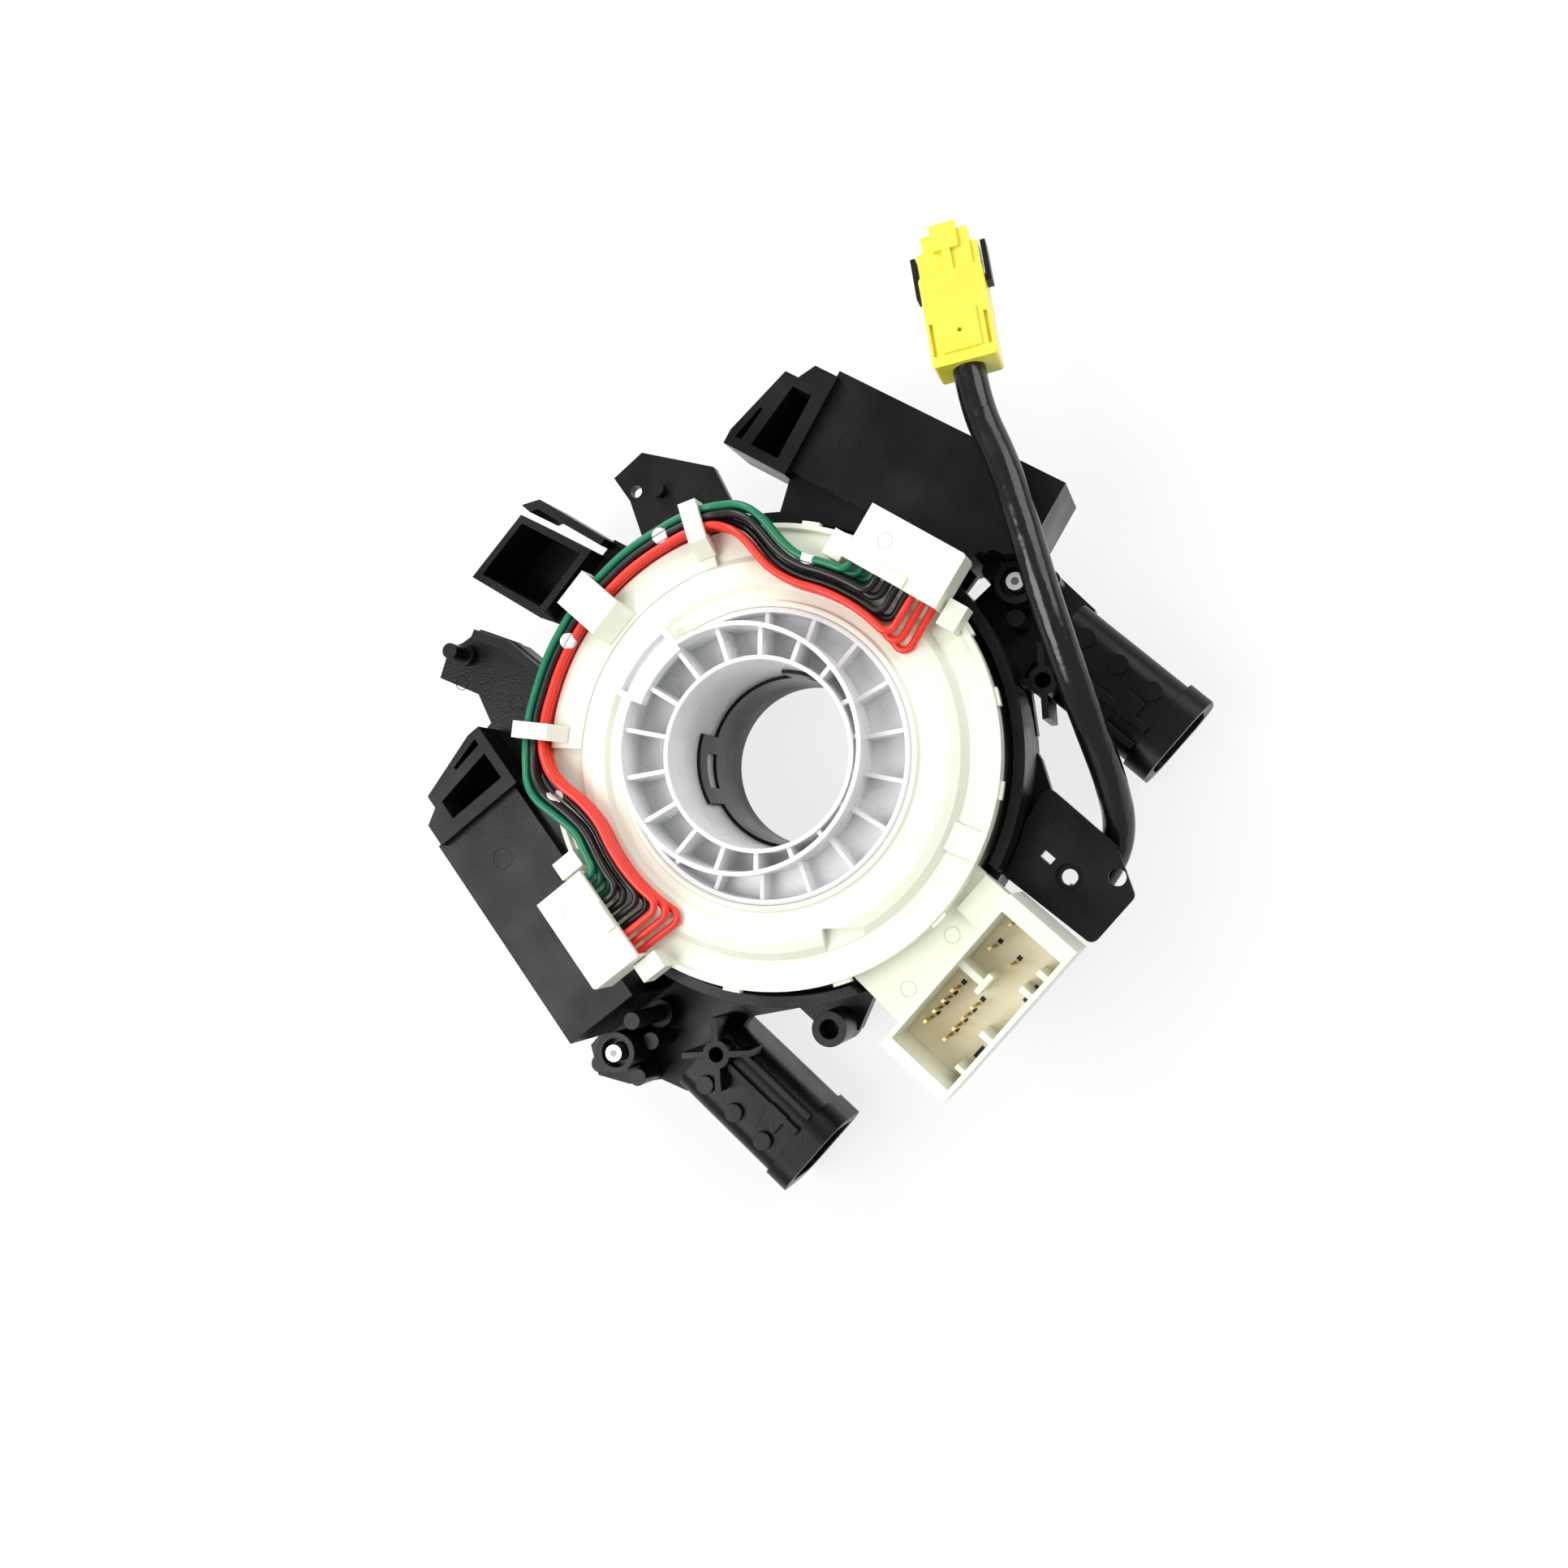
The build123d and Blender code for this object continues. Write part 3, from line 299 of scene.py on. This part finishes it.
# Paint marks across the wires: angle round the cassette, radius and height, in degrees and mm
mark_spots = ((26.0, 38.4, 42.5), (67.0, 48.8, 39.4), (101.0, 47.4, 39.4), (141.0, 43.0, 42.5))


def mark_mask(tree, reach):
    """1 within reach of any paint mark, 0 elsewhere."""
    place = tree.nodes.new("ShaderNodeTexCoord")
    total = None
    for angle, radius, height in mark_spots:
        distance = tree.nodes.new("ShaderNodeVectorMath")
        distance.operation = "DISTANCE"
        spot = Vector((radius * cos(radians(angle)), radius * sin(radians(angle)), height)) * mm
        distance.inputs[1].default_value = spot
        tree.links.new(place.outputs["Object"], distance.inputs[0])
        near = tree.nodes.new("ShaderNodeMath")
        near.operation = "LESS_THAN"
        near.inputs[1].default_value = reach
        tree.links.new(distance.outputs["Value"], near.inputs[0])
        if total is None:
            total = near
            continue
        both = tree.nodes.new("ShaderNodeMath")
        both.operation = "MAXIMUM"
        tree.links.new(total.outputs["Value"], both.inputs[0])
        tree.links.new(near.outputs["Value"], both.inputs[1])
        total = both
    return total


class OBJECT_OT_dress_wires(bpy.types.Operator):
    """Give the harness wires their coloured insulation and paint marks"""

    bl_idname = "object.dress_wires"
    bl_label = "Harness wires"

    def execute(self, context):
        look = context.scene.clock_spring_harness
        for colour_name, colour in (("red", look.red), ("green", look.green), ("black", look.black)):
            material, tree, shader = new_shader(f"{colour_name} wire insulation", colour, 0.32)
            mix = tree.nodes.new("ShaderNodeMix")
            mix.data_type = "RGBA"
            mix.inputs["A"].default_value = (*colour, 1.0)
            mix.inputs["B"].default_value = (*look.mark, 1.0)
            tree.links.new(mark_mask(tree, look.mark_radius).outputs["Value"], mix.inputs["Factor"])
            tree.links.new(mix.outputs["Result"], shader.inputs["Base Color"])
            vary_roughness(tree, shader, 300.0, 0.26, 0.4)
            dress(material, *[name for name in nodes if name.startswith(f"wire_{colour_name}")])
        return {"FINISHED"}


# Route of the airbag lead, in mm, from the gland to the connector
lead_route = (
    (18.0, -62.0, 12.6),
    (25.5, -62.0, 12.6),
    (33.0, -58.6, 15.6),
    (38.6, -51.8, 22.8),
    (43.6, -43.6, 30.4),
    (50.0, -33.0, 36.0),
    (57.4, -21.0, 38.6),
    (65.0, -9.6, 39.2),
    (71.4, 0.9, 38.6),
    (75.9, 11.1, 37.9),
    (80.9, 17.3, 37.4),
)


class OBJECT_OT_add_lead(bpy.types.Operator):
    """Add the glossy sleeve of the airbag lead from its gland to its connector"""

    bl_idname = "object.add_lead"
    bl_label = "Airbag lead"

    def execute(self, context):
        look = context.scene.clock_spring_harness
        curve = bpy.data.curves.new("airbag lead sleeve", "CURVE")
        curve.dimensions = "3D"
        curve.bevel_depth = look.sleeve_diameter / 2
        curve.bevel_resolution = 10
        curve.resolution_u = 16
        spline = curve.splines.new("NURBS")
        spline.points.add(len(lead_route) - 1)
        for point, place in zip(spline.points, lead_route):
            point.co = (*(Vector(place) * mm), 1.0)
        spline.order_u = 3
        spline.use_endpoint_u = True
        sleeve = bpy.data.objects.new("airbag_lead_sleeve", curve)
        context.scene.collection.objects.link(sleeve)

        material, tree, shader = new_shader("glossy black sleeve", (0.004, 0.004, 0.0045), 0.16)
        creases = object_noise(tree, 95.0, 3.0)
        creases.inputs["Distortion"].default_value = 0.6
        bump = tree.nodes.new("ShaderNodeBump")
        bump.inputs["Strength"].default_value = 0.5
        bump.inputs["Distance"].default_value = 0.0009
        tree.links.new(creases.outputs["Fac"], bump.inputs["Height"])
        tree.links.new(bump.outputs["Normal"], shader.inputs["Normal"])
        vary_roughness(tree, shader, 180.0, 0.1, 0.24)
        curve.materials.append(material)

        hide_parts("lead_sleeve")
        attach(sleeve, "body")
        dress(material, "lead_gland")
        return {"FINISHED"}


class OBJECT_OT_dress_connector(bpy.types.Operator):
    """Give the lead connector its lemon yellow plastic"""

    bl_idname = "object.dress_connector"
    bl_label = "Lead connector"

    def execute(self, context):
        look = context.scene.clock_spring_mouldings
        deep = tuple(c * 0.88 for c in look.yellow)
        material, tree, shader = new_shader("lemon yellow plastic", look.yellow, 0.3)
        shader.inputs["Subsurface Weight"].default_value = 0.2
        shader.inputs["Subsurface Radius"].default_value = (1.0, 0.9, 0.2)
        shader.inputs["Subsurface Scale"].default_value = 0.001
        vary_colour(tree, shader, 60.0, look.yellow, deep, 0.4, 0.8)
        vary_roughness(tree, shader, 120.0, 0.24, 0.36)
        soften(tree, shader, look.edge)
        dress(material, "lead_connector")
        return {"FINISHED"}


# Round ejector marks on flat faces: x, y, height of the face and radius, in mm
black_marks = (
    (15.9, -62.6, 20.5, 1.9), (26.0, -50.0, 20.5, 1.9), (17.5, -48.6, 20.5, 1.5),
    (60.3, 9.0, 33.0, 2.2), (56.5, 28.5, 33.0, 2.2), (-56.0, 11.0, 33.0, 2.2), (-53.5, 31.0, 33.0, 2.2),
    (30.4, 47.5, 28.6, 1.7), (-34.0, 66.0, 26.2, 1.5), (-29.0, 53.0, 26.2, 1.7),
)
cream_marks = (
    (-16.5, -49.5, 30.0, 1.6), (-3.0, -49.0, 30.0, 1.6),
    (46.2, 6.5, 45.0, 1.5), (-48.0, 8.0, 45.0, 1.5),
)
mark_height = 0.05 * mm
mark_rim = 0.14 * mm


def ring_marks(name, spots, sides, material):
    """Fine raised rings lying on flat faces, as one mesh."""
    mesh = bpy.data.meshes.new(name)
    work = bmesh.new()
    for x, y, z, radius in spots:
        loops = []
        for r, h in ((radius * mm, 0.0), (radius * mm, mark_height),
                     (radius * mm - mark_rim, mark_height), (radius * mm - mark_rim, 0.0)):
            turns = [2 * pi * k / sides for k in range(sides)]
            loops.append([
                work.verts.new((x * mm + r * cos(turn), y * mm + r * sin(turn), z * mm + h))
                for turn in turns
            ])
        for low, high in zip(loops, loops[1:] + loops[:1]):
            for k in range(sides):
                work.faces.new((low[k], low[(k + 1) % sides], high[(k + 1) % sides], high[k]))
    bmesh.ops.recalc_face_normals(work, faces=work.faces)
    work.to_mesh(mesh)
    work.free()
    mesh.materials.append(material)
    piece = bpy.data.objects.new(name, mesh)
    bpy.context.scene.collection.objects.link(piece)
    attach(piece, "body")
    return piece


def flat_piece(name, outlines, material):
    """Thin flat shapes, each a list of corners and a height in mm, as one mesh."""
    mesh = bpy.data.meshes.new(name)
    work = bmesh.new()
    for corners, low, high in outlines:
        rings = [[work.verts.new((x * mm, y * mm, z * mm)) for x, y in corners] for z in (low, high)]
        work.faces.new(rings[0][::-1])
        work.faces.new(rings[1])
        for k in range(len(corners)):
            after = (k + 1) % len(corners)
            work.faces.new((rings[0][k], rings[0][after], rings[1][after], rings[1][k]))
    bmesh.ops.recalc_face_normals(work, faces=work.faces)
    work.to_mesh(mesh)
    work.free()
    mesh.materials.append(material)
    piece = bpy.data.objects.new(name, mesh)
    bpy.context.scene.collection.objects.link(piece)
    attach(piece, "body")


def rectangle(x, y, wide, deep):
    return [(x - wide / 2, y - deep / 2), (x + wide / 2, y - deep / 2),
            (x + wide / 2, y + deep / 2), (x - wide / 2, y + deep / 2)]


# Floor of the vehicle connector and the terminals that stand in it, in mm
floor_height = 28.0
floor_skin = 0.04
floor_middle = (-7.4, -61.1)
floor_size = (31.0, 13.6)
terminals = [(6.7, -56.5), (0.9, -56.5), (0.9, -61.3)]
terminals += [(-9.7 - 2.6 * k, y) for k in range(4) for y in (-56.4, -61.2)]
# The dark squares and strips by the terminals are painted shade standing for the holes and slots
slot_beside = 1.15
slot_size = 0.95
edge_slots = ((-1.6, 4.0), (-16.6, 2.7))      # middle and width of the two long slots
edge_slot_y = -67.2
edge_slot_deep = 0.8
holder_beige = (0.86, 0.79, 0.60)
holder_dull = (0.80, 0.72, 0.52)


class OBJECT_OT_add_terminal_floor(bpy.types.Operator):
    """Add the beige terminal holder of the vehicle connector, with a flat dark square by each terminal and
    two dark strips, painted shade for the slots
    """

    bl_idname = "object.add_terminal_floor"
    bl_label = "Terminal floor"

    def execute(self, context):
        beige, tree, shader = new_shader("beige terminal holder", holder_beige, 0.45)
        vary_colour(tree, shader, 80.0, holder_beige, holder_dull)
        top = floor_height + floor_skin
        sheet = (rectangle(*floor_middle, *floor_size), floor_height, top)
        flat_piece("terminal_floor", [sheet], beige)
        # Painted shade: thin dark sheets on the floor stand for the shaded holes beside the terminals and
        # the two long slots
        dark, tree, shader = new_shader("painted shade of terminal slots", (0.012, 0.011, 0.01), 0.6)
        slots = [(rectangle(x + slot_beside, y, slot_size, slot_size), floor_height, top + floor_skin)
                 for x, y in terminals]
        slots += [(rectangle(x, edge_slot_y, wide, edge_slot_deep), floor_height, top + floor_skin)
                  for x, wide in edge_slots]
        flat_piece("terminal_slot_painted_shade", slots, dark)
        return {"FINISHED"}


# Drive recess in the tip of each screw, in mm; each is drawn as a flat dark hexagon of painted shade
screw_tips = ((56.1, -13.6), (-68.5, -12.5))
tip_height = 28.0
recess_radius = 0.85


class OBJECT_OT_add_screw_recesses(bpy.types.Operator):
    """Add a flat dark hexagon on the tip of each captive screw, painted shade for its six-sided recess"""

    bl_idname = "object.add_screw_recesses"
    bl_label = "Screw recesses"

    def execute(self, context):
        # Painted shade: a thin dark metal hexagon stands for the shaded drive recess
        dark, tree, shader = new_shader("shaded zinc", (0.16, 0.16, 0.17), 0.4)
        shader.inputs["Metallic"].default_value = 1.0
        shapes = []
        for x, y in screw_tips:
            turns = [pi * k / 3 for k in range(6)]
            corners = [(x + recess_radius * cos(turn), y + recess_radius * sin(turn)) for turn in turns]
            shapes.append((corners, tip_height, tip_height + floor_skin))
        flat_piece("screw_recesses", shapes, dark)
        return {"FINISHED"}


class OBJECT_OT_add_ejector_marks(bpy.types.Operator):
    """Add the fine round marks that ejector pins leave on flat faces"""

    bl_idname = "object.add_ejector_marks"
    bl_label = "Ejector marks"

    def execute(self, context):
        sides = context.scene.clock_spring_studio.mark_count
        black = nodes["switch_body"].material_slots[0].material
        cream = nodes["cassette_cover"].material_slots[0].material
        ring_marks("body_ejector_marks", black_marks, sides, black)
        ring_marks("cassette_ejector_marks", cream_marks, sides, cream)
        return {"FINISHED"}


def area_lamp(name, place, size, power):
    lamp = bpy.data.lights.new(name, "AREA")
    lamp.shape = "DISK"
    lamp.size = size
    lamp.energy = power
    holder = bpy.data.objects.new(name, lamp)
    holder.location = place
    holder.rotation_euler = (-Vector(place)).to_track_quat("-Z", "Y").to_euler()
    bpy.context.scene.collection.objects.link(holder)


def seen_directly(tree):
    """1 for rays from the camera and from gloss or clear plastic."""
    path = tree.nodes.new("ShaderNodeLightPath")
    first = tree.nodes.new("ShaderNodeMath")
    first.operation = "MAXIMUM"
    second = tree.nodes.new("ShaderNodeMath")
    second.operation = "MAXIMUM"
    tree.links.new(path.outputs["Is Camera Ray"], first.inputs[0])
    tree.links.new(path.outputs["Is Transmission Ray"], first.inputs[1])
    tree.links.new(first.outputs["Value"], second.inputs[0])
    tree.links.new(path.outputs["Is Glossy Ray"], second.inputs[1])
    return second


def camera_turn():
    """The camera's rotation from the seen direction of the part's axes."""
    up = -camera_down.normalized()
    side = (Vector((1, 0, 0)) - up * up.x).normalized()
    ahead = up.cross(side)
    roll = radians(camera_roll)
    part_x = side * cos(roll) + ahead * sin(roll)
    part_y = ahead * cos(roll) - side * sin(roll)
    seen = Matrix((part_x, part_y, up))
    return seen @ Matrix.Diagonal((1, -1, -1))


class OBJECT_OT_add_studio(bpy.types.Operator):
    """Add the white floor, the soft lamps and the camera"""

    bl_idname = "object.add_studio"
    bl_label = "Studio"

    def execute(self, context):
        scene = context.scene
        look = scene.clock_spring_studio
        scene.view_settings.view_transform = "Standard"

        bpy.ops.mesh.primitive_plane_add(size=floor_side, location=(0, 0, cad_low[2] - floor_drop))
        floor = context.object
        floor.name = "studio_floor"
        material, tree, shader = new_shader("white floor", (0.88, 0.88, 0.88), 0.7)
        glow = tree.nodes.new("ShaderNodeEmission")
        glow.inputs["Strength"].default_value = 1.0
        mix = tree.nodes.new("ShaderNodeMixShader")
        share = tree.nodes.new("ShaderNodeMath")
        share.operation = "MULTIPLY"
        share.inputs[1].default_value = look.floor_white
        tree.links.new(seen_directly(tree).outputs["Value"], share.inputs[0])
        tree.links.new(share.outputs["Value"], mix.inputs["Fac"])
        tree.links.new(shader.outputs["BSDF"], mix.inputs[1])
        tree.links.new(glow.outputs["Emission"], mix.inputs[2])
        tree.links.new(mix.outputs["Shader"], tree.nodes["Material Output"].inputs["Surface"])
        floor.data.materials.append(material)

        world = bpy.data.worlds.new("white room")
        world.use_nodes = True
        tree = world.node_tree
        room = tree.nodes["Background"]
        room.inputs["Strength"].default_value = look.around
        white = tree.nodes.new("ShaderNodeBackground")
        white.inputs["Color"].default_value = (1, 1, 1, 1)
        room.inputs["Color"].default_value = (1, 1, 1, 1)
        mix = tree.nodes.new("ShaderNodeMixShader")
        path = tree.nodes.new("ShaderNodeLightPath")
        tree.links.new(path.outputs["Is Camera Ray"], mix.inputs["Fac"])
        tree.links.new(room.outputs["Background"], mix.inputs[1])
        tree.links.new(white.outputs["Background"], mix.inputs[2])
        tree.links.new(mix.outputs["Shader"], tree.nodes["World Output"].inputs["Surface"])
        scene.world = world

        area_lamp("key lamp", (-0.35, 0.15, 0.55), 0.5, look.key_power)
        area_lamp("fill lamp", (0.5, -0.1, 0.4), 0.5, look.fill_power)
        area_lamp("rim lamp", (0.15, 0.5, 0.35), 0.35, look.rim_power)

        lens = bpy.data.cameras.new("picture camera")
        lens.lens = camera_lens
        lens.sensor_width = sensor_width
        lens.sensor_height = sensor_width
        lens.clip_start = 0.01
        camera = bpy.data.objects.new("picture camera", lens)
        camera.matrix_world = Matrix.Translation(camera_at) @ camera_turn().to_4x4()
        scene.collection.objects.link(camera)
        scene.camera = camera
        return {"FINISHED"}


steps = (
    OBJECT_OT_dress_black_mouldings,
    OBJECT_OT_dress_cassette,
    OBJECT_OT_dress_hub,
    OBJECT_OT_dress_metal,
    OBJECT_OT_dress_ribbon,
    OBJECT_OT_dress_wires,
    OBJECT_OT_add_lead,
    OBJECT_OT_dress_connector,
    OBJECT_OT_add_terminal_floor,
    OBJECT_OT_add_screw_recesses,
    OBJECT_OT_add_ejector_marks,
    OBJECT_OT_add_studio,
)


class VIEW3D_PT_clock_spring(bpy.types.Panel):
    """Lists the steps that dress the clock spring"""

    bl_idname = "VIEW3D_PT_clock_spring"
    bl_label = "Clock Spring"
    bl_space_type = "VIEW_3D"
    bl_region_type = "UI"
    bl_category = "Clock Spring"

    def draw(self, context):
        column = self.layout.column()
        for step in steps:
            column.operator(step.bl_idname)


property_groups = (
    ("clock_spring_mouldings", ClockSpringMouldings),
    ("clock_spring_harness", ClockSpringHarness),
    ("clock_spring_studio", ClockSpringStudio),
)


def register():
    for name, group in property_groups:
        bpy.utils.register_class(group)
        setattr(bpy.types.Scene, name, PointerProperty(type=group))
    for step in steps:
        bpy.utils.register_class(step)
    bpy.utils.register_class(VIEW3D_PT_clock_spring)


def unregister():
    bpy.utils.unregister_class(VIEW3D_PT_clock_spring)
    for step in reversed(steps):
        bpy.utils.unregister_class(step)
    for name, group in reversed(property_groups):
        delattr(bpy.types.Scene, name)
        bpy.utils.unregister_class(group)


def main():
    register()
    bpy.ops.object.dress_black_mouldings()
    bpy.ops.object.dress_cassette()
    bpy.ops.object.dress_hub()
    bpy.ops.object.dress_metal()
    bpy.ops.object.dress_ribbon()
    bpy.ops.object.dress_wires()
    bpy.ops.object.add_lead()
    bpy.ops.object.dress_connector()
    bpy.ops.object.add_terminal_floor()
    bpy.ops.object.add_screw_recesses()
    bpy.ops.object.add_ejector_marks()
    bpy.ops.object.add_studio()


if __name__ == "__main__":
    main()
